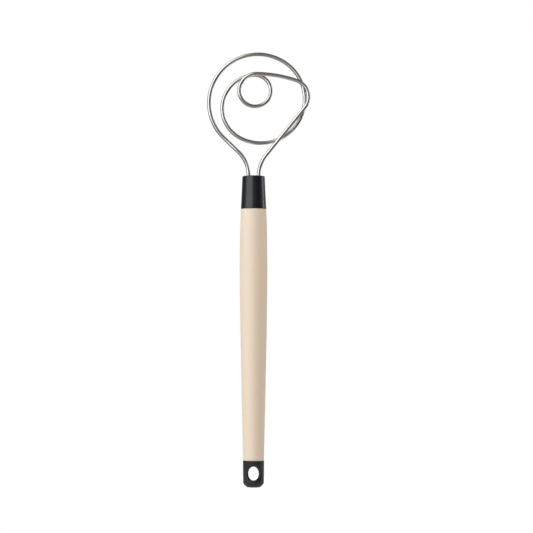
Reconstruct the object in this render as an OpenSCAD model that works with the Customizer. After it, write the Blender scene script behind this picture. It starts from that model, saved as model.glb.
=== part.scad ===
// Dough whisk: one wire wound into three loops, on a hollow moulded handle.
// The whisk stands upright. The origin is the centre of the end cap's flat end,
// +Z runs along the handle to the loops, and -Y is the side that is seen first.

/* [Wire] */
// Diameter of the stainless wire
wire_d = 3; // [2.6:0.1:3.3]
// Distance between the centres of the two wire legs
leg_spacing = 8; // [7:0.1:8.4]
// Clear gap between two stretches of wire where they cross
cross_gap = 0.6; // [0.45:0.05:1]
// Length of straight wire above the collar, before the legs part
neck_rise = 0.2; // [0.1:0.1:2]
// Radius of the bend where the left leg leaves the collar
left_neck_r = 26.1; // [23:0.1:28]
// Radius of the bend where the right leg leaves the collar
right_neck_r = 25.2; // [23:0.1:28]
// Slope of the straight right leg, up from the level
right_leg_slope = 51; // [49:0.5:52]

/* [Loops] */
// Radius of the outer loop
outer_r = 38.6; // [36.5:0.1:43.5]
// Outer loop's centre, to the right of the handle's axis
outer_offset = 3.3; // [2.5:0.1:4.5]
// Height of the outer loop's lowest point above the collar's top face
outer_rise = 19.4; // [17.5:0.1:21]
// How much tighter the second loop is than the outer one, where it passes under the small one
lower_step = 3.8; // [3.3:0.1:5]
// How much tighter again the second loop's left side is, which leads into the small one
inner_step = 8.4; // [7:0.1:9.5]
// Radius of the small loop in the middle
small_r = 12.5; // [11:0.1:13.5]
// How much wider the small loop's last stretch is, as it rises over its own start
rise_step = 1.2; // [1:0.1:2.2]
// Radius of the long, nearly straight arc from the small loop to the corner
exit_r = 104; // [95:1:125]
// Radius of the corner at the right
corner_r = 13.6; // [11:0.1:16]

/* [Collar] */
// Height of the collar
collar_h = 26; // [22:0.5:32]
// Diameter of the collar at its top
collar_top_d = 17.9; // [17.2:0.1:18.6]
// Diameter of the collar at its lower rim
collar_rim_d = 20.2; // [19.6:0.1:20.8]
// Thickness of the collar's top wall
collar_roof = 3; // [2:0.5:5]
// Rounding of the collar's top edge
collar_edge_r = 1.2; // [0.6:0.1:1.5]

/* [Handle] */
// Length of the handle between collar and cap
handle_h = 198.2; // [170:0.1:230]
// Diameter of the handle under the collar
handle_top_d = 19.8; // [19.4:0.1:20.8]
// Largest diameter of the handle
belly_d = 21.8; // [21.2:0.1:24]
// Height of the largest diameter above the handle's lower end
belly_rise = 144; // [130:1:150]
// Diameter of the handle at the cap
handle_end_d = 16.3; // [15.9:0.1:17.6]
// Wall of the handle around its hollow core
handle_wall = 4.2; // [3.8:0.1:4.6]
// Rounding of the handle's two end edges
handle_edge_r = 0.5; // [0.2:0.1:0.8]

/* [Wire anchor] */
// Diameter of the plug that is moulded round the wire legs
anchor_d = 14.5; // [14.1:0.1:15]
// Length of the plug inside the handle
anchor_grip = 27; // [22:0.5:34]
// Plug below the ends of the wire legs
anchor_floor = 4; // [2:0.5:6]

/* [End cap] */
// Height of the cap below the handle
cap_h = 20.8; // [19.6:0.1:24]
// Diameter of the cap where it meets the handle
cap_top_d = 16.7; // [16.4:0.1:17]
// Diameter of the cap below the hanging hole
cap_waist_d = 16.5; // [16:0.1:16.9]
// Diameter of the flat end that the whisk can stand on
cap_foot_d = 10.2; // [9:0.1:11.5]
// Height of the bevel round the flat end
cap_bevel_h = 2.5; // [2:0.1:3]
// Rounding of the bevel's upper edge
cap_shoulder_r = 3.2; // [2.4:0.1:3.6]
// Rounding of the edge round the flat end
cap_edge_r = 0.8; // [0.4:0.1:1.2]
// Width of the oval hanging hole
hole_w = 8.2; // [7:0.1:8.6]
// Height of the oval hanging hole
hole_h = 11.2; // [10:0.1:12]
// Height of the hole's centre above the flat end
hole_rise = 10.8; // [10.4:0.1:11.2]
// Rounding of the hole's two rims
hole_round = 1.5; // [1:0.1:1.6]
// Diameter of the spigot that plugs into the handle
spigot_d = 10; // [8.5:0.1:10.6]
// Length of the spigot
spigot_h = 16; // [12:0.5:22]

/* [Fits] */
// Radial clearance of each seat and wire hole
seat_gap = 0.05; // [0.03:0.01:0.1]
// Height of the snap rings above the plug and the spigot
snap_h = 0.3; // [0.2:0.05:0.4]
// Radius of the snap rings' round section
snap_r = 0.8; // [0.6:0.1:1]
// Distance of each snap ring from the joint that it holds shut
snap_reach = 8; // [6:0.5:9]
// Bevel that leads the plug and the spigot in
lead = 0.9; // [0.5:0.1:1.2]

/* [Hidden] */
$fn = 72;

handle_top = cap_h + handle_h;
collar_top = handle_top + collar_h;
anchor_top = collar_top - collar_roof;
anchor_foot = handle_top - anchor_grip;
leg_end = anchor_foot + anchor_floor;
neck_z = collar_top + neck_rise;
lower_r = outer_r - lower_step;
inner_r = lower_r - inner_step;
rise_r = small_r + rise_step;
seat_r = anchor_d / 2 + seat_gap;
collar_snap_z = handle_top + snap_reach;
handle_snap_z = handle_top - snap_reach;
spigot_snap_z = cap_h + snap_reach;

// How far a bore's cutter runs past the surface that it opens
cut_past = 1;

// Powers of the curves of the handle below and above its belly, and of the collar's and
// the cap's flare
belly_power = 1.3;
shoulder_power = 3.2;
collar_power = 1.3;
cap_power = 2;

// Directions from a loop's centre, in degrees from the right, where the wire passes
// from one loop to the next. Both centres lie on that line, so the loops are tangent.
lower_from = 52;
inner_from = 241;
small_from = 92;
rise_from = 159;
exit_from = 89.1;

full_turn = 360;
quarter_turn = 90;

// Depth of the rear and the front layer of wire
rear_y = (wire_d + cross_gap) / 2;
front_y = -rear_y;

// Sides of the wire's section, the widest turn in degrees and the longest step between
// two rings of it, and the fewest rings of a stretch that changes depth
wire_sides = 16;
ring_turn = 8;
ring_step = 8;
ease_rings = 8;

function ray(a) = [cos(a), sin(a)];
function angle_of(v) = atan2(v[1], v[0]);
function ease(t) = (1 - cos(180 * t)) / 2;

// Centres of the bends, in the plane of the loops: to the right and up.
left_neck_c = [-leg_spacing / 2 - left_neck_r, neck_z];
right_neck_c = [leg_spacing / 2 + right_neck_r, neck_z];
outer_c = [outer_offset, collar_top + outer_rise + outer_r];
lower_c = outer_c + (outer_r - lower_r) * ray(lower_from);
inner_c = lower_c + (lower_r - inner_r) * ray(inner_from);
small_c = inner_c + (inner_r - small_r) * ray(small_from);
rise_c = small_c + (small_r - rise_r) * ray(rise_from);
exit_c = rise_c + (rise_r - exit_r) * ray(exit_from);

// The left run is the tangent between the left neck and the outer loop.
to_outer = outer_c - left_neck_c;
run_slope = angle_of(to_outer) - quarter_turn + acos(-(outer_r + left_neck_r) / norm(to_outer));

// The corner is tangent to the exit arc and to the straight right leg.
leg_top = right_neck_c + right_neck_r * ray(right_leg_slope + quarter_turn);
beside_leg = leg_top + corner_r * ray(right_leg_slope + quarter_turn) - exit_c;
along_leg = beside_leg * ray(right_leg_slope);
off_leg2 = beside_leg * beside_leg - pow(exit_r - corner_r, 2);
leg_run = sqrt(along_leg * along_leg - off_leg2) - along_leg;
corner_c = exit_c + beside_leg + leg_run * ray(right_leg_slope);
corner_from = angle_of(corner_c - exit_c);

// How many rings a stretch of wire takes
function ring_count(sweep, run, deepens, turn, step) =
    max(deepens ? ease_rings : 1, ceil(sweep / turn), ceil(run / step));

// Points of an arc and of a straight, without the first one. Depth eases from y0 to y1.
function bend(c, r, from, to, y0, y1, turn, step) =
    let (sweep = abs(to - from),
        n = ring_count(sweep, r * sweep * PI / 180, y0 != y1, turn, step))
    [for (k = [1:n])
        let (p = c + r * ray(from + (to - from) * k / n))
        [p[0], y0 + (y1 - y0) * ease(k / n), p[1]]];
function straight(p, q, y0, y1, step) =
    let (n = ring_count(0, norm(q - p), y0 != y1, 1, step))
    [for (k = [1:n])
        let (m = p + (q - p) * k / n)
        [m[0], y0 + (y1 - y0) * ease(k / n), m[1]]];

// The wire's centre line, from the end of one leg to the end of the other.
function wire_route(turn, step) =
    let (left_x = -leg_spacing / 2,
        right_x = leg_spacing / 2,
        bend_to = run_slope - quarter_turn,
        outer_from = run_slope + quarter_turn,
        corner_to = right_leg_slope - quarter_turn,
        neck_from = right_leg_slope + quarter_turn,
        run_from = left_neck_c + left_neck_r * ray(bend_to),
        run_to = outer_c + outer_r * ray(outer_from),
        leg_from = corner_c + corner_r * ray(corner_to))
    concat(
        [[left_x, 0, leg_end]],
        straight([left_x, leg_end], [left_x, neck_z], 0, 0, step),
        bend(left_neck_c, left_neck_r, 0, bend_to, 0, 0, turn, step),
        straight(run_from, run_to, 0, rear_y, step),
        bend(outer_c, outer_r, outer_from, lower_from, rear_y, rear_y, turn, step),
        bend(lower_c, lower_r, lower_from, inner_from - full_turn, rear_y, rear_y, turn, step),
        bend(inner_c, inner_r, inner_from, small_from, rear_y, rear_y, turn, step),
        bend(small_c, small_r, small_from, rise_from - full_turn, rear_y, front_y, turn, step),
        bend(rise_c, rise_r, rise_from, exit_from, front_y, front_y, turn, step),
        bend(exit_c, exit_r, exit_from, corner_from, front_y, front_y, turn, step),
        bend(corner_c, corner_r, corner_from, corner_to, front_y, front_y, turn, step),
        straight(leg_from, leg_top, front_y, front_y, step),
        bend(right_neck_c, right_neck_r, neck_from, 2 * quarter_turn, front_y, 0, turn, step),
        straight([right_x, neck_z], [right_x, leg_end], 0, 0, step));

// Least distance from a point to the line between a and b
function to_line(p, a, b) =
    let (ab = b - a, t = (p - a) * ab / (ab * ab))
    norm(p - a - max(0, min(1, t)) * ab);

// Least clear gap of the wire to itself, between stretches that are apart along it
function least_gap(route, apart) =
    let (last = len(route) - 1,
        run = [for (i = 0, s = 0; i <= last;
            s = s + norm(route[min(i + 1, last)] - route[i]), i = i + 1) s])
    min([for (i = [0:last], j = [0:last - 1])
        if (abs(run[j] - run[i]) > apart) to_line(route[i], route[j], route[j + 1])]) - wire_d;

// Corners of a profile's arc that rounds the corner b between a and c
function rounded(a, b, c, r, n = 5) =
    let (u = (a - b) / norm(a - b),
        v = (c - b) / norm(c - b),
        half = acos(u * v) / 2,
        mid = b + (u + v) / norm(u + v) * r / sin(half),
        from = angle_of(b + u * r / tan(half) - mid),
        turn = angle_of(b + v * r / tan(half) - mid) - from,
        sweep = turn > 180 ? turn - 360 : turn < -180 ? turn + 360 : turn)
    [for (k = [0:n]) mid + r * ray(from + sweep * k / n)];

// Radius of the handle at a height above its lower end
function handle_r(h) =
    let (below = h < belly_rise,
        reach = below ? belly_rise : handle_h - belly_rise,
        drop = belly_d - (below ? handle_end_d : handle_top_d),
        power = below ? belly_power : shoulder_power)
    (belly_d - drop * pow(abs(h - belly_rise) / reach, power)) / 2;

// Radius of the collar at a height above its lower rim
function collar_r(h) =
    (collar_top_d + (collar_rim_d - collar_top_d) * pow(1 - h / collar_h, collar_power)) / 2;

// Radius of the end cap above the hanging hole's centre, at a share of the way up
function cap_r(t) = (cap_waist_d + (cap_top_d - cap_waist_d) * pow(t, cap_power)) / 2;

// One unbroken skin over a row of rings, all of the same number of points
module ringed_skin(rings, sides) {
    last = len(rings) / sides - 1;
    skin = [for (i = [0:last - 1], k = [0:sides - 1])
        let (a = i * sides + k,
            b = i * sides + (k + 1) % sides)
        each [[a, b, a + sides], [b, b + sides, a + sides]]];
    tip = last * sides;
    ends = [for (k = [1:sides - 2])
        each [[0, k + 1, k], [tip, tip + k, tip + k + 1]]];
    polyhedron(rings, concat(skin, ends));
}

// A tube swept along a route
module swept_wire(route) {
    last = len(route) - 1;
    ringed_skin([for (i = [0:last])
        let (t = route[min(i + 1, last)] - route[max(i - 1, 0)],
            side = cross(t, [0, 1, 0]) / norm(cross(t, [0, 1, 0])),
            up = cross(side, t) / norm(t))
        for (k = [0:wire_sides - 1])
            let (a = 360 * (k + 0.5) / wire_sides)
            route[i] + wire_d / 2 * (cos(a) * side + sin(a) * up)], wire_sides);
}

// A round ring that stands out of a plug, or the groove that it snaps into
module snap_ring(body_r, z, r) {
    translate([0, 0, z])
        rotate_extrude()
            translate([body_r + snap_h - snap_r, 0])
                circle(r);
}

// The two bores of the wire legs, between two heights
module leg_bores(from, to) {
    for (x = [-leg_spacing / 2, leg_spacing / 2])
        translate([x, 0, from])
            cylinder(r = wire_d / 2 + seat_gap, h = to - from);
}

// A point of the hanging hole's front rim, at an angle round the oval and a share of the
// way from the bore to the cap's surface. A ball rolled round the edge touches the rim so.
// Past is how far the point moves on from there, straight ahead.
function rim_point(a, share, past = 0) =
    let (out = [cos(a) / hole_w, sin(a) / hole_h] / norm([cos(a) / hole_w, sin(a) / hole_h]),
        right = hole_w / 2 * cos(a) + hole_round * out[0],
        up = hole_rise + hole_h / 2 * sin(a) + hole_round * out[1],
        reach = cap_waist_d / 2 - hole_round,
        depth = sqrt(reach * reach - right * right),
        from = [-out[0], 0, -out[1]],
        to = [right, -depth, 0] / reach,
        turn = acos(from * to),
        ahead = to * cos(share * turn) - from * cos((1 - share) * turn),
        spoke = to * sin(share * turn) + from * sin((1 - share) * turn))
    [right, -depth, up] + (hole_round * spoke + past * ahead) / sin(turn);

// What the hanging hole takes out of the cap: an oval bore and its two rounded rims
module oval_hole() {
    sides = 40;
    shares = [0.85, 0.64, 0.43, 0.21, 0];
    far_y = cap_top_d / 2 + cut_past;
    angles = [for (k = [0:sides - 1]) full_turn * (k + 0.5) / sides];
    past = [for (a = angles) rim_point(a, shares[0], cut_past)];
    front = concat(
        [for (p = past) [p[0], -far_y, p[2]]],
        past,
        [for (share = shares, a = angles) rim_point(a, share)]);
    rows = len(front) / sides;
    rear = [for (i = [rows - 1:-1:0], k = [0:sides - 1])
        let (p = front[i * sides + k])
        [p[0], -p[1], p[2]]];
    ringed_skin(concat(front, rear), sides);
}

// One stainless wire: two legs, the outer and second loops, the small loop and a corner
module whisk_wire() {
    fine_turn = 3;
    fine_step = 1.5;
    apart = 20;
    echo(wire_least_gap = least_gap(wire_route(fine_turn, fine_step), apart));
    color("silver")
        swept_wire(wire_route(ring_turn, ring_step));
}

// Plug moulded round the wire legs. It seats in the collar and in the handle.
module wire_anchor() {
    color("dimgray")
        difference() {
            union() {
                rotate_extrude()
                    polygon([
                        [0, anchor_foot],
                        [anchor_d / 2 - lead, anchor_foot],
                        [anchor_d / 2, anchor_foot + lead],
                        [anchor_d / 2, anchor_top],
                        [0, anchor_top]]);
                snap_ring(anchor_d / 2, collar_snap_z, snap_r);
                snap_ring(anchor_d / 2, handle_snap_z, snap_r);
            }
            leg_bores(leg_end, anchor_top + cut_past);
        }
}

// Dark collar over the top of the plug, with a hole for each leg in its top wall
module collar() {
    steps = 8;
    shoulder = collar_h - collar_edge_r * 2;
    color([0.13, 0.14, 0.17])
        difference() {
            translate([0, 0, handle_top])
                rotate_extrude()
                    polygon(concat(
                        [[0, 0]],
                        [for (k = [0:steps]) [collar_r(shoulder * k / steps), shoulder * k / steps]],
                        rounded([collar_r(shoulder), shoulder], [collar_top_d / 2, collar_h],
                            [0, collar_h], collar_edge_r),
                        [[0, collar_h]]));
            translate([0, 0, handle_top - cut_past])
                cylinder(r = seat_r, h = anchor_top - handle_top + cut_past);
            snap_ring(anchor_d / 2, collar_snap_z, snap_r + seat_gap);
            leg_bores(anchor_top - cut_past, collar_top + cut_past);
        }
}

// Handle: a moulded tube with a belly, bored for the plug above and the spigot below
module handle() {
    steps_below = 16;
    steps_above = 6;
    hollow_foot = spigot_h;
    hollow_top = handle_h - anchor_grip;
    heights = concat(
        [for (k = [0:steps_below]) handle_edge_r + (belly_rise - handle_edge_r) * k / steps_below],
        [for (k = [1:steps_above])
            belly_rise + (handle_h - handle_edge_r - belly_rise) * k / steps_above]);
    core = [for (k = [0:steps_below]) hollow_foot + (hollow_top - hollow_foot) * k / steps_below];
    color([0.88, 0.82, 0.74])
        translate([0, 0, cap_h])
            difference() {
                rotate_extrude()
                    polygon(concat(
                        [[0, 0]],
                        rounded([0, 0], [handle_end_d / 2, 0],
                            [handle_end_d / 2, handle_edge_r * 2], handle_edge_r),
                        [for (h = heights) if (h > handle_edge_r && h < handle_h - handle_edge_r)
                            [handle_r(h), h]],
                        rounded([handle_top_d / 2, handle_h - handle_edge_r * 2],
                            [handle_top_d / 2, handle_h], [0, handle_h], handle_edge_r),
                        [[0, handle_h]]));
                rotate_extrude()
                    polygon(concat(
                        [[0, hollow_foot]],
                        [for (h = core) [handle_r(min(h, belly_rise)) - handle_wall, h]],
                        [[0, hollow_top]]));
                translate([0, 0, -cut_past])
                    cylinder(r = spigot_d / 2 + seat_gap, h = spigot_h + cut_past);
                translate([0, 0, hollow_top])
                    cylinder(r = seat_r, h = anchor_grip + cut_past);
                snap_ring(spigot_d / 2, spigot_snap_z - cap_h, snap_r + seat_gap);
                snap_ring(anchor_d / 2, handle_snap_z - cap_h, snap_r + seat_gap);
            }
}

// Dark end cap with the oval hanging hole, a bevelled flat end and a spigot
module end_cap() {
    steps = 5;
    bevel_top = [cap_waist_d / 2, cap_bevel_h];
    foot_edge = [cap_foot_d / 2, 0];
    color([0.16, 0.16, 0.17])
        difference() {
            union() {
                rotate_extrude()
                    polygon(concat(
                        [[0, 0]],
                        rounded([0, 0], foot_edge, bevel_top, cap_edge_r),
                        rounded(foot_edge, bevel_top, [cap_waist_d / 2, hole_rise], cap_shoulder_r),
                        [for (k = [0:steps])
                            [cap_r(k / steps), hole_rise + (cap_h - hole_rise) * k / steps]],
                        [[spigot_d / 2, cap_h],
                            [spigot_d / 2, cap_h + spigot_h - lead],
                            [spigot_d / 2 - lead, cap_h + spigot_h],
                            [0, cap_h + spigot_h]]));
                snap_ring(spigot_d / 2, spigot_snap_z, snap_r);
            }
            oval_hole();
        }
}

whisk_wire();
wire_anchor();
collar();
handle();
end_cap();
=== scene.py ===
import math

import bmesh
import bpy
from mathutils import Matrix, Vector


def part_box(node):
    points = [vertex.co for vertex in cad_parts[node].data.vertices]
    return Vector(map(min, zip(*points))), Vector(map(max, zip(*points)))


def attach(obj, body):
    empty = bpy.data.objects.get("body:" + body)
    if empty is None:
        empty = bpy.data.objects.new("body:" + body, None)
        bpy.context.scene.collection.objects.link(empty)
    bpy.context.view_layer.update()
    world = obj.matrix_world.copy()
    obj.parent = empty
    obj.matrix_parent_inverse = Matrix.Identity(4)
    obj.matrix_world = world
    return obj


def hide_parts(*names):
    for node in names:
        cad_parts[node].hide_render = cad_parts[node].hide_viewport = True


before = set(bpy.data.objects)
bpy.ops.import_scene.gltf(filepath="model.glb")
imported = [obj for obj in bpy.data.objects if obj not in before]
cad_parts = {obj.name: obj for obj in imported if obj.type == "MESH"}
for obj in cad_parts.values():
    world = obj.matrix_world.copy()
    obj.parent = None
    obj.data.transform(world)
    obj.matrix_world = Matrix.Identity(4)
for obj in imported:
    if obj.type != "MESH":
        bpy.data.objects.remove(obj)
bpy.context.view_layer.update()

# The camera. It stands square in front of the whisk with a long lens, a little below the
# middle of it, and looks up by two degrees. The picture is 420 mm wide at the handle.
picture_width = 0.4202
camera_distance = 1.8
camera_tilt = math.radians(2.0)
looks_at = Vector((0.0102, 0.0, 0.1735))
towards_camera = Vector((0, -math.cos(camera_tilt), -math.sin(camera_tilt)))

camera = bpy.data.objects.new("camera", bpy.data.cameras.new("camera"))
bpy.context.scene.collection.objects.link(camera)
camera.location = looks_at + towards_camera * camera_distance
camera.rotation_euler = (math.pi / 2 + camera_tilt, 0, 0)
camera.data.lens = camera.data.sensor_width * camera_distance / picture_width
bpy.context.scene.camera = camera
bpy.context.scene.view_settings.view_transform = "Standard"

# The studio. A tall soft lamp at the left front is the main light, a weak warm one fills the
# right, and a narrow one at the right edge draws a line of light. All of them stand upright.
lamp_level = 0.25


def soft_lamp(name, azimuth, distance, lift, width, height, power, colour=(1, 1, 1)):
    """An upright lamp that faces the whisk. Azimuth is from the camera, to the right, and
    lift is above the level of the whisk's neck."""
    a = math.radians(azimuth)
    lamp = bpy.data.objects.new(name, bpy.data.lights.new(name, "AREA"))
    bpy.context.scene.collection.objects.link(lamp)
    lamp.data.shape = "RECTANGLE"
    lamp.data.size = width
    lamp.data.size_y = height
    lamp.data.energy = power
    lamp.data.color = colour
    lamp.location = (math.sin(a) * distance, -math.cos(a) * distance, lamp_level + lift)
    lamp.rotation_euler = (math.pi / 2, 0, a)
    lamp.visible_camera = False
    return lamp


soft_lamp("main_lamp", azimuth=-43, distance=2.4, lift=1.5, width=3.2, height=3.7, power=84,
          colour=(0.98, 1.0, 1.03))
soft_lamp("edge_lamp", azimuth=106, distance=2.6, lift=0.3, width=0.7, height=2.2, power=15.5)
fill_lamp = soft_lamp("fill_lamp", azimuth=55, distance=2.4, lift=0, width=3.2, height=3.6,
                      power=18, colour=(1, 0.92, 0.80))
fill_lamp.visible_glossy = False

# The room. The camera sees plain white all round, and shiny surfaces see it straight behind
# the whisk. For them and for the light, the rest is a warm grey with soft round patches:
# the studio's pale cards, the dark corners between them, the floor and the ceiling.
room = bpy.data.worlds.new("room")
bpy.context.scene.world = room
room.use_nodes = True
room_nodes = room.node_tree.nodes
room_links = room.node_tree.links
room_nodes.clear()
room_direction = room_nodes.new("ShaderNodeTexCoord").outputs["Generated"]


def room_spot(azimuth, height, full, faded):
    """A soft round spot in the room, round a direction. It is 1 up to one angle from its
    middle and 0 from another angle on, in degrees."""
    a, e = math.radians(azimuth), math.radians(height)
    dot = room_nodes.new("ShaderNodeVectorMath")
    dot.operation = "DOT_PRODUCT"
    dot.inputs[1].default_value = (
        math.sin(a) * math.cos(e), -math.cos(a) * math.cos(e), math.sin(e))
    room_links.new(room_direction, dot.inputs[0])
    spot = room_nodes.new("ShaderNodeMapRange")
    spot.interpolation_type = "SMOOTHSTEP"
    spot.inputs["From Min"].default_value = math.cos(math.radians(faded))
    spot.inputs["From Max"].default_value = math.cos(math.radians(full))
    room_links.new(dot.outputs["Value"], spot.inputs["Value"])
    return spot.outputs["Result"]


def room_patch(under, spot, colour):
    """Paints a spot of the room in a colour."""
    mix = room_nodes.new("ShaderNodeMix")
    mix.data_type = "RGBA"
    room_links.new(spot, mix.inputs["Factor"])
    if isinstance(under, tuple):
        mix.inputs["A"].default_value = (*under, 1)
    else:
        room_links.new(under, mix.inputs["A"])
    mix.inputs["B"].default_value = (*colour, 1)
    return mix.outputs["Result"]


def joined(nodes, links, first, second, operation="MAXIMUM"):
    """Two values made into one, which is the larger of them unless it says otherwise."""
    both = nodes.new("ShaderNodeMath")
    both.operation = operation
    links.new(first, both.inputs[0])
    links.new(second, both.inputs[1])
    return both.outputs["Value"]


# Each patch has the place of its middle, the angles where it starts to fade and is gone, and
# a colour. Later patches cover earlier ones.
walls = (0.30, 0.295, 0.29)
for azimuth, height, full, faded, colour in (
        (0, -90, 30, 85, (0.27, 0.19, 0.13)),
        (0, 90, 20, 70, (0.20, 0.21, 0.23)),
        (-45, -38, 12, 36, (0.72, 0.66, 0.58)),
        (90, -60, 12, 34, (1.0, 0.78, 0.60)),
        (142, -45, 12, 34, (1.2, 1.05, 0.90)),
        (50, -50, 8, 28, (0.76, 0.60, 0.48)),
        (48, -8, 14, 34, (0.05, 0.05, 0.055)),
        (-120, -12, 12, 35, (0.12, 0.12, 0.12)),
        (-24, -15, 4, 13, (1.0, 0.95, 0.9)),
        (-137, 36, 12, 30, (0.85, 0.85, 0.85)),
        (-95, 60, 12, 34, (1.25, 1.25, 1.25))):
    walls = room_patch(walls, room_spot(azimuth, height, full, faded), colour)
white_behind = room_spot(180, -10, 15, 42)
lit_room = room_nodes.new("ShaderNodeBackground")
room_links.new(walls, lit_room.inputs["Color"])
white_room = room_nodes.new("ShaderNodeBackground")
white_room.inputs["Color"].default_value = (1, 1, 1, 1)
which_ray = room_nodes.new("ShaderNodeLightPath").outputs
mirrored = joined(room_nodes, room_links, which_ray["Is Glossy Ray"],
                  which_ray["Is Transmission Ray"])
mirrored = joined(room_nodes, room_links, mirrored, white_behind, "MULTIPLY")
seen_room = room_nodes.new("ShaderNodeMixShader")
room_links.new(joined(room_nodes, room_links, mirrored, which_ray["Is Camera Ray"]),
               seen_room.inputs["Fac"])
room_links.new(lit_room.outputs["Background"], seen_room.inputs[1])
room_links.new(white_room.outputs["Background"], seen_room.inputs[2])
room_output = room_nodes.new("ShaderNodeOutputWorld")
room_links.new(seen_room.outputs["Shader"], room_output.inputs["Surface"])

# The floor. A plain pale disc that the whisk stands on. To the camera and in the metal it
# adds its own white, so that it meets the white room and only the whisk's shadow shows.
floor_radius = 0.15
floor_gap = 0.0002
floor_colour = (0.72, 0.62, 0.54)
own_white = 0.76

floor_mesh = bpy.data.meshes.new("floor")
disc = bmesh.new()
bmesh.ops.create_circle(disc, cap_ends=True, segments=96, radius=floor_radius,
                        matrix=Matrix.Translation((0, 0, -floor_gap)))
disc.to_mesh(floor_mesh)
disc.free()
floor = bpy.data.objects.new("floor", floor_mesh)
bpy.context.scene.collection.objects.link(floor)
paint = bpy.data.materials.new("floor_paint")
paint.use_nodes = True
paint_nodes = paint.node_tree.nodes
paint_links = paint.node_tree.links
matt = paint_nodes["Principled BSDF"]
matt.inputs["Base Color"].default_value = (*floor_colour, 1)
matt.inputs["Roughness"].default_value = 0.9
matt.inputs["Specular IOR Level"].default_value = 0
ray = paint_nodes.new("ShaderNodeLightPath").outputs
seen = joined(paint_nodes, paint_links, ray["Is Camera Ray"], ray["Is Glossy Ray"])
seen = joined(paint_nodes, paint_links, seen, ray["Is Transmission Ray"])
shown = paint_nodes.new("ShaderNodeMath")
shown.operation = "MULTIPLY"
shown.inputs[1].default_value = own_white
paint_links.new(seen, shown.inputs[0])
glow = paint_nodes.new("ShaderNodeEmission")
paint_links.new(shown.outputs["Value"], glow.inputs["Strength"])
both_parts = paint_nodes.new("ShaderNodeAddShader")
paint_links.new(matt.outputs["BSDF"], both_parts.inputs[0])
paint_links.new(glow.outputs["Emission"], both_parts.inputs[1])
paint_links.new(both_parts.outputs["Shader"],
                paint_nodes["Material Output"].inputs["Surface"])
floor.data.materials.append(paint)

# The whisk head. It is one stainless wire, 3 mm thick, drawn bright and bent cold round
# pins: up from the collar, round the outer, second and small loops, to a corner, and down.
wire_radius = 0.0015
leg_x = 0.004
layer_depth = 0.0018
neck_rise = 0.0002
leg_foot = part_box("whisk_wire")[0].z
neck_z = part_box("collar")[1].z + neck_rise
wire_sides = 32
turn_step = math.radians(3)
straight_step = 0.002


def aim(degrees):
    """The unit direction at an angle from the right, in the plane of the loops."""
    return Vector((math.cos(math.radians(degrees)), math.sin(math.radians(degrees))))


def angle_of(direction):
    """The angle of a direction from the right, in degrees."""
    return math.degrees(math.atan2(direction.y, direction.x))


# Each pin is a centre, as right and up, and a radius. Each loop is tangent to the next, and
# passes into it at an angle from the right.
left_neck_r, right_neck_r = 0.0261, 0.0252
outer_r, lower_r, inner_r, small_r = 0.0386, 0.0348, 0.0264, 0.0125
rise_r, exit_r, corner_r = 0.0137, 0.1040, 0.0136
outer_offset, outer_rise = 0.0033, 0.0194
outer_to_lower, lower_to_inner, inner_to_small, small_to_rise, rise_to_exit = (
    52, 241, 92, 159, 89.1)
right_slope = 51
left_neck = Vector((-leg_x - left_neck_r, neck_z))
right_neck = Vector((leg_x + right_neck_r, neck_z))
outer = Vector((outer_offset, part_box("collar")[1].z + outer_rise + outer_r))
lower = outer + (outer_r - lower_r) * aim(outer_to_lower)
inner = lower + (lower_r - inner_r) * aim(lower_to_inner)
small = inner + (inner_r - small_r) * aim(inner_to_small)
rise = small + (small_r - rise_r) * aim(small_to_rise)
exit_pin = rise + (rise_r - exit_r) * aim(rise_to_exit)

# The left run touches the left neck and the outer loop.
neck_to_outer = outer - left_neck
left_slope = (angle_of(neck_to_outer) - 90
              + math.degrees(math.acos(-(outer_r + left_neck_r) / neck_to_outer.length)))

# The corner touches the long exit bend and the straight right leg.
leg_top = right_neck + right_neck_r * aim(right_slope + 90)
beside_leg = leg_top + corner_r * aim(right_slope + 90) - exit_pin
along_leg = beside_leg.dot(aim(right_slope))
off_leg = beside_leg.length_squared - (exit_r - corner_r) ** 2
leg_run = math.sqrt(along_leg ** 2 - off_leg) - along_leg
corner = exit_pin + beside_leg + leg_run * aim(right_slope)
exit_to_corner = angle_of(corner - exit_pin)

wire = bmesh.new()
unbent = wire.verts.layers.float_vector.new("unbent")
around = wire.verts.layers.float_vector.new("around")
foot = bmesh.ops.create_circle(wire, segments=wire_sides, radius=wire_radius,
                               matrix=Matrix.Translation((-leg_x, 0, leg_foot)))["verts"]
for v in foot:
    v[unbent] = (v.co.x + leg_x, v.co.y, 0)
    v[around] = (-v.co.y, v.co.x + leg_x, 0)
wire_end = foot + wire.edges[:]
wire_length = 0.0


def ease(t):
    """A smooth rise from 0 to 1."""
    return (1 - math.cos(math.pi * t)) / 2


def mark_ring(heading, step):
    """Notes on the newest ring how far along the wire it is and which way is round it."""
    global wire_length
    wire_length += step
    ring = [v for v in wire_end if isinstance(v, bmesh.types.BMVert)]
    middle = sum((v.co for v in ring), Vector()) / len(ring)
    for v in ring:
        v[unbent] = (v[unbent].x, v[unbent].y, wire_length)
        v[around] = heading.cross(v.co - middle).normalized()


def run_straight(length, degrees, depth_from=0.0, depth_to=0.0):
    """Runs the wire on in a straight line, while its depth eases from one to the other."""
    global wire_end
    steps = max(2, round(length / straight_step))
    heading = Vector((aim(degrees).x, 0, aim(degrees).y))
    for k in range(steps):
        deeper = (depth_to - depth_from) * (ease((k + 1) / steps) - ease(k / steps))
        grown = bmesh.ops.extrude_edge_only(
            wire, edges=[e for e in wire_end if isinstance(e, bmesh.types.BMEdge)])["geom"]
        wire_end = [g for g in grown if not isinstance(g, bmesh.types.BMFace)]
        bmesh.ops.translate(
            wire, verts=[v for v in wire_end if isinstance(v, bmesh.types.BMVert)],
            vec=heading * length / steps + Vector((0, deeper, 0)))
        mark_ring(heading, length / steps)


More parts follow.
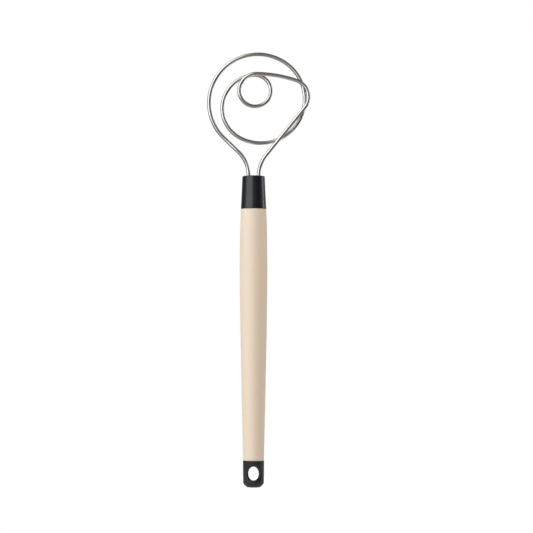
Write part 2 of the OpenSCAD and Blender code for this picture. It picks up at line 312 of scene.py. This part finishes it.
def bend_round(pin, radius, start, end, depth_from=0.0, depth_to=0.0):
    """Bends the wire round a pin from one angle to another, in degrees. Wide bends turn in
    smaller steps, so that their rings lie about as close as those of the small loop."""
    global wire_end
    sweep = math.radians(end - start)
    fine = turn_step * min(1, math.sqrt(small_r / radius))
    steps = max(2, math.ceil(abs(sweep) / fine))
    for k in range(steps):
        deeper = (depth_to - depth_from) * (ease((k + 1) / steps) - ease(k / steps))
        spun = bmesh.ops.spin(wire, geom=wire_end, cent=(pin.x, 0, pin.y), axis=(0, -1, 0),
                              dvec=(0, deeper, 0), angle=sweep / steps, steps=1)
        wire_end = [g for g in spun["geom_last"] if not isinstance(g, bmesh.types.BMFace)]
        now = start + (end - start) * (k + 1) / steps
        ahead = aim(now + math.copysign(90, end - start))
        mark_ring(Vector((ahead.x, 0, ahead.y)), radius * abs(sweep) / steps)


rear, front = layer_depth, -layer_depth
left_run = (outer + outer_r * aim(left_slope + 90)
            - left_neck - left_neck_r * aim(left_slope - 90)).length
run_straight(neck_z - leg_foot, 90)
bend_round(left_neck, left_neck_r, 0, left_slope - 90)
run_straight(left_run, left_slope, 0, rear)
bend_round(outer, outer_r, left_slope + 90, outer_to_lower, rear, rear)
bend_round(lower, lower_r, outer_to_lower, lower_to_inner - 360, rear, rear)
bend_round(inner, inner_r, lower_to_inner, inner_to_small, rear, rear)
bend_round(small, small_r, inner_to_small, small_to_rise - 360, rear, front)
bend_round(rise, rise_r, small_to_rise, rise_to_exit, front, front)
bend_round(exit_pin, exit_r, rise_to_exit, exit_to_corner, front, front)
bend_round(corner, corner_r, exit_to_corner, right_slope - 90, front, front)
run_straight(leg_run, right_slope + 180, front, front)
bend_round(right_neck, right_neck_r, right_slope + 90, 180, front, 0)
run_straight(neck_z - leg_foot, -90)
bmesh.ops.holes_fill(wire, edges=[e for e in wire.edges if e.is_boundary], sides=0)


def new_finish(name, colour, roughness, metallic=0.0):
    """A material with its plain values set, its nodes and links, and its shader."""
    finish = bpy.data.materials.new(name)
    finish.use_nodes = True
    shader = finish.node_tree.nodes["Principled BSDF"]
    shader.inputs["Base Color"].default_value = (*colour, 1)
    shader.inputs["Roughness"].default_value = roughness
    shader.inputs["Metallic"].default_value = metallic
    return finish, finish.node_tree.nodes, finish.node_tree.links, shader


def grain(nodes, links, place, size, detail=2.0):
    """Noise of a size in metres, or of a different size along each axis."""
    scaled = nodes.new("ShaderNodeMapping")
    sizes = size if isinstance(size, tuple) else (size,) * 3
    scaled.inputs["Scale"].default_value = [1 / s for s in sizes]
    links.new(place, scaled.inputs["Vector"])
    noise = nodes.new("ShaderNodeTexNoise")
    noise.inputs["Scale"].default_value = 1
    noise.inputs["Detail"].default_value = detail
    links.new(scaled.outputs["Vector"], noise.inputs["Vector"])
    return noise.outputs["Fac"]


def spread(nodes, links, value, low, high):
    """Noise, which mostly lies between 0.3 and 0.7, brought to a range of values."""
    ranged = nodes.new("ShaderNodeMapRange")
    ranged.inputs["From Min"].default_value = 0.3
    ranged.inputs["From Max"].default_value = 0.7
    ranged.inputs["To Min"].default_value = low
    ranged.inputs["To Max"].default_value = high
    links.new(value, ranged.inputs["Value"])
    return ranged.outputs["Result"]


def tinted(nodes, links, shader, share, first, second):
    """Colours a surface between two shades."""
    tint = nodes.new("ShaderNodeMix")
    tint.data_type = "RGBA"
    tint.inputs["A"].default_value = (*first, 1)
    tint.inputs["B"].default_value = (*second, 1)
    links.new(share, tint.inputs["Factor"])
    links.new(tint.outputs["Result"], shader.inputs["Base Color"])


def raised(nodes, links, shader, height, depth):
    """Small relief on a surface, of a depth in metres."""
    bump = nodes.new("ShaderNodeBump")
    bump.inputs["Strength"].default_value = 1
    bump.inputs["Distance"].default_value = depth
    links.new(height, bump.inputs["Height"])
    links.new(bump.outputs["Normal"], shader.inputs["Normal"])


sharp_edge = math.radians(40)


def add_piece(name, shape, finish, node):
    """Makes a finished piece of a shape, which stands for its node and rides on the root."""
    bmesh.ops.recalc_face_normals(shape, faces=shape.faces)
    mesh = bpy.data.meshes.new(name)
    shape.to_mesh(mesh)
    shape.free()
    mesh.shade_smooth()
    mesh.set_sharp_from_angle(angle=sharp_edge)
    mesh.materials.append(finish)
    piece = bpy.data.objects.new(name, mesh)
    bpy.context.scene.collection.objects.link(piece)
    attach(piece, "root")
    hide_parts(node)


bright_steel, nodes, links, shader = new_finish(
    "bright_drawn_steel", (0.458, 0.448, 0.436), 0.2, metallic=1.0)
shader.inputs["Anisotropic"].default_value = 0.2
place = nodes.new("ShaderNodeAttribute")
place.attribute_name = "unbent"
way_round = nodes.new("ShaderNodeAttribute")
way_round.attribute_name = "around"
links.new(way_round.outputs["Vector"], shader.inputs["Tangent"])
draw_lines = grain(nodes, links, place.outputs["Vector"], (0.00025, 0.00025, 0.02))
links.new(spread(nodes, links, draw_lines, 0.13, 0.20), shader.inputs["Roughness"])
raised(nodes, links, shader, draw_lines, 0.000002)
add_piece("bent_wire", wire, bright_steel, "whisk_wire")

# The plug. It is grey nylon moulded round both legs of the wire, and it holds the collar,
# the handle and the wire together. It stays hidden inside them.
plug_grey, nodes, links, shader = new_finish("plug_nylon", (0.22, 0.22, 0.23), 0.55)
place = nodes.new("ShaderNodeTexCoord")
flow = grain(nodes, links, place.outputs["Object"], (0.004, 0.004, 0.012))
links.new(spread(nodes, links, flow, 0.5, 0.62), shader.inputs["Roughness"])
raised(nodes, links, shader, flow, 0.00003)
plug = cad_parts["wire_anchor"]
plug.data.materials.clear()
plug.data.materials.append(plug_grey)


# The collar. It is a near-black moulding that flares down to the handle, with a rounded
# top edge and a hole for each leg of the wire. It snaps down over the plug.
touching = 1e-6


def turn_profile(points, steps=144):
    """Spins a closed outline of radius and height round the handle's axis."""
    shape = bmesh.new()
    corners = [shape.verts.new((r, 0, z)) for r, z in points]
    sides = [shape.edges.new(pair) for pair in zip(corners, corners[1:] + corners[:1])
             if pair[0].co.x + pair[1].co.x > touching]
    bmesh.ops.spin(shape, geom=corners + sides, cent=(0, 0, 0), axis=(0, 0, 1),
                   angle=2 * math.pi, steps=steps, use_merge=True)
    bmesh.ops.remove_doubles(shape, verts=shape.verts, dist=touching)
    bmesh.ops.recalc_face_normals(shape, faces=shape.faces)
    return shape


def round_rings(shape, radius, height, offset, segments=6):
    """Rounds the ring edge at a radius and height."""
    ring = [e for e in shape.edges if all(
        abs(v.co.z - height) < touching and abs(v.co.xy.length - radius) < touching
        for v in e.verts)]
    bmesh.ops.bevel(shape, geom=ring, offset=offset, segments=segments, profile=0.5,
                    affect="EDGES", material=-1)


def cut_with(shape, cutter):
    """Cuts one shape out of another."""
    both = []
    for part in (shape, cutter):
        mesh = bpy.data.meshes.new("cut")
        part.to_mesh(mesh)
        part.free()
        both.append(bpy.data.objects.new("cut", mesh))
        bpy.context.scene.collection.objects.link(both[-1])
    cut = both[0].modifiers.new("cut", "BOOLEAN")
    cut.operation = "DIFFERENCE"
    cut.solver = "EXACT"
    cut.object = both[1]
    left = bmesh.new()
    left.from_object(both[0], bpy.context.evaluated_depsgraph_get())
    for used in both:
        bpy.data.objects.remove(used)
    return left


collar_foot, collar_head = (corner_point.z for corner_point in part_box("collar"))
collar_h = collar_head - collar_foot
collar_top_r, collar_rim_r, collar_bore_r = 0.00895, 0.0101, 0.0073
collar_roof = 0.003
collar_edge, collar_foot_edge = 0.0012, 0.00015
leg_hole_gap = 0.00005
leg_hole_r = wire_radius + leg_hole_gap
collar_flare = 1.3
collar_rings = 24


def collar_radius(share):
    """The collar's outer radius, at a share of the way up."""
    return collar_top_r + (collar_rim_r - collar_top_r) * (1 - share) ** collar_flare


collar = turn_profile(
    [(collar_radius(k / collar_rings), collar_foot + collar_h * k / collar_rings)
     for k in range(collar_rings + 1)]
    + [(0, collar_head), (0, collar_head - collar_roof),
       (collar_bore_r, collar_head - collar_roof), (collar_bore_r, collar_foot)])
round_rings(collar, collar_top_r, collar_head, collar_edge)
round_rings(collar, collar_rim_r, collar_foot, collar_foot_edge, segments=2)
leg_holes = bmesh.new()
for x in (-leg_x, leg_x):
    bmesh.ops.create_cone(leg_holes, cap_ends=True, segments=48, radius1=leg_hole_r,
                          radius2=leg_hole_r, depth=4 * collar_roof,
                          matrix=Matrix.Translation((x, 0, collar_head)))
collar = cut_with(collar, leg_holes)


def dark_plastic(name, colour, lighter, roughness):
    """Near-black satin plastic with the fine grain of a sparked mould."""
    finish, nodes, links, shader = new_finish(name, colour, roughness)
    place = nodes.new("ShaderNodeTexCoord").outputs["Object"]
    mottle = grain(nodes, links, place, 0.006, detail=3.0)
    tinted(nodes, links, shader, mottle, colour, lighter)
    links.new(spread(nodes, links, mottle, roughness - 0.04, roughness + 0.04),
              shader.inputs["Roughness"])
    raised(nodes, links, shader, grain(nodes, links, place, 0.00022), 0.000004)
    return finish, nodes, links, shader


collar_black = dark_plastic("collar_black", (0.004, 0.005, 0.008), (0.006, 0.007, 0.011), 0.28)[0]
add_piece("collar_moulding", collar, collar_black, "collar")

# The handle. It is a cream plastic tube, fullest near the collar and slimmer towards the
# cap, with softened end edges. It is moulded hollow, with a seat for the plug and the cap.
handle_foot, handle_head = (corner_point.z for corner_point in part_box("handle"))
handle_h = handle_head - handle_foot
belly_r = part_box("handle")[1].x
handle_top_r, handle_end_r = 0.0099, 0.00815
belly_rise = 0.144
belly_share = belly_rise / handle_h
lower_curve, upper_curve = 1.3, 3.2
plug_seat, handle_bore_r = 0.027, 0.0051
handle_edge = 0.0005
handle_rings = 96


def handle_radius(share):
    """The handle's outer radius, at a share of the way up."""
    if share < belly_share:
        drop = (belly_r - handle_end_r) * (1 - share / belly_share) ** lower_curve
    else:
        past = (share - belly_share) / (1 - belly_share)
        drop = (belly_r - handle_top_r) * past ** upper_curve
    return belly_r - drop


handle = turn_profile(
    [(handle_radius(k / handle_rings), handle_foot + handle_h * k / handle_rings)
     for k in range(handle_rings + 1)]
    + [(collar_bore_r, handle_head), (collar_bore_r, handle_head - plug_seat),
       (handle_bore_r, handle_head - plug_seat), (handle_bore_r, handle_foot)], steps=192)
round_rings(handle, handle_top_r, handle_head, handle_edge)
round_rings(handle, handle_end_r, handle_foot, handle_edge)

cream, nodes, links, shader = new_finish("cream_plastic", (0.80, 0.69, 0.56), 0.5)
shader.inputs["Subsurface Weight"].default_value = 0.6
shader.inputs["Subsurface Radius"].default_value = (1, 0.65, 0.4)
shader.inputs["Subsurface Scale"].default_value = 0.003
place = nodes.new("ShaderNodeTexCoord").outputs["Object"]
cloud = grain(nodes, links, place, (0.012, 0.012, 0.05), detail=3.0)
tinted(nodes, links, shader, cloud, (0.79, 0.68, 0.55), (0.81, 0.70, 0.57))
links.new(spread(nodes, links, cloud, 0.45, 0.55), shader.inputs["Roughness"])
raised(nodes, links, shader, grain(nodes, links, place, 0.0006), 0.000006)
add_piece("handle_tube", handle, cream, "handle")

# The end cap. It is a near-black moulding with a bevelled foot and an oval hanging hole,
# whose rims are rounded at the front and the back, and rubbed smooth where the whisk hangs.
# Its spigot plugs into the handle.
cap_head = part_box("handle")[0].z
spigot_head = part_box("end_cap")[1].z
cap_top_r, cap_waist_r, cap_foot_r = 0.00835, 0.00825, 0.0051
cap_bevel = 0.0025
cap_shoulder, cap_edge = 0.0032, 0.0008
spigot_r = 0.005
hole_half_w, hole_half_h, hole_z = 0.0041, 0.0056, 0.0108
hole_round = 0.0015
hole_sides = 128
cap_rings = 12

cap = turn_profile(
    [(0, 0), (cap_foot_r, 0), (cap_waist_r, cap_bevel)]
    + [(cap_waist_r + (cap_top_r - cap_waist_r) * (k / cap_rings) ** 2,
        hole_z + (cap_head - hole_z) * k / cap_rings) for k in range(cap_rings + 1)]
    + [(spigot_r, cap_head), (spigot_r, spigot_head), (0, spigot_head)])
bevel_slope = math.atan2(cap_bevel, cap_waist_r - cap_foot_r)
round_rings(cap, cap_foot_r, 0, cap_edge * math.tan(bevel_slope / 2))
round_rings(cap, cap_waist_r, cap_bevel,
            cap_shoulder * math.tan((math.pi / 2 - bevel_slope) / 2), segments=12)


def rim_loop(shape, side, share, past=0.0, flat_at=None):
    """One loop of the hole's cutter, where a ball rolled round the hole's edge touches it. The
    share runs from the bore's wall to the cap's surface, and past goes straight on from it."""
    loop = bmesh.ops.create_circle(shape, segments=hole_sides, radius=1)["verts"]
    for v in loop:
        out = Vector((v.co.x / hole_half_w, v.co.y / hole_half_h)).normalized()
        right = hole_half_w * v.co.x + hole_round * out.x
        up = hole_z + hole_half_h * v.co.y + hole_round * out.y
        reach = cap_waist_r - hole_round
        depth = math.sqrt(reach ** 2 - right ** 2)
        bore_way = Vector((-out.x, 0, -out.y))
        skin_way = Vector((right, -depth, 0)) / reach
        turn = bore_way.angle(skin_way)
        to_skin, to_bore = share * turn, (1 - share) * turn
        spoke = skin_way * math.sin(to_skin) + bore_way * math.sin(to_bore)
        ahead = skin_way * math.cos(to_skin) - bore_way * math.cos(to_bore)
        spot = Vector((right, -depth, up)) + (hole_round * spoke + past * ahead) / math.sin(turn)
        v.co = (spot.x, side * (spot.y if flat_at is None else -flat_at), spot.z)
    return list(dict.fromkeys(e for v in loop for e in v.link_edges))


hole = bmesh.new()
past_skin = 0.001
rim_shares = (0.93, 0.8, 0.65, 0.5, 0.35, 0.2, 0.1, 0)
front_rim = [(rim_shares[0], past_skin, cap_top_r + past_skin), (rim_shares[0], past_skin)]
front_rim += [(share,) for share in rim_shares]
loops = [rim_loop(hole, 1, *row) for row in front_rim]
loops += [rim_loop(hole, -1, *row) for row in reversed(front_rim)]
for near, far in zip(loops, loops[1:]):
    bmesh.ops.bridge_loops(hole, edges=near + far)
bmesh.ops.holes_fill(hole, edges=[e for e in hole.edges if e.is_boundary], sides=0)
bmesh.ops.recalc_face_normals(hole, faces=hole.faces)
cap = cut_with(cap, hole)

cap_black, nodes, links, shader = dark_plastic(
    "cap_black", (0.004, 0.004, 0.005), (0.007, 0.007, 0.008), 0.55)
shader.inputs["Specular IOR Level"].default_value = 0.32

# The rim's polish fades out between two distances from the hole's middle, counted in the
# hole's own half widths and half heights, and is the same at any depth.
rim_smooth, rim_grained = 1.25, 1.7
rim_roughness = 0.27
no_depth = 1000
from_hole = nodes.new("ShaderNodeMapping")
from_hole.vector_type = "TEXTURE"
from_hole.inputs["Location"].default_value = (0, 0, hole_z)
from_hole.inputs["Scale"].default_value = (hole_half_w, no_depth, hole_half_h)
links.new(nodes.new("ShaderNodeTexCoord").outputs["Object"], from_hole.inputs["Vector"])
away = nodes.new("ShaderNodeVectorMath")
away.operation = "LENGTH"
links.new(from_hole.outputs["Vector"], away.inputs[0])
rim = nodes.new("ShaderNodeMapRange")
rim.interpolation_type = "SMOOTHSTEP"
rim.inputs["From Min"].default_value = rim_smooth
rim.inputs["From Max"].default_value = rim_grained
links.new(away.outputs["Value"], rim.inputs["Value"])
mould_grain = shader.inputs["Roughness"].links[0].from_socket
rubbed = nodes.new("ShaderNodeMix")
rubbed.inputs["A"].default_value = rim_roughness
links.new(rim.outputs["Result"], rubbed.inputs["Factor"])
links.new(mould_grain, rubbed.inputs["B"])
links.new(rubbed.outputs["Result"], shader.inputs["Roughness"])
add_piece("hanging_cap", cap, cap_black, "end_cap")
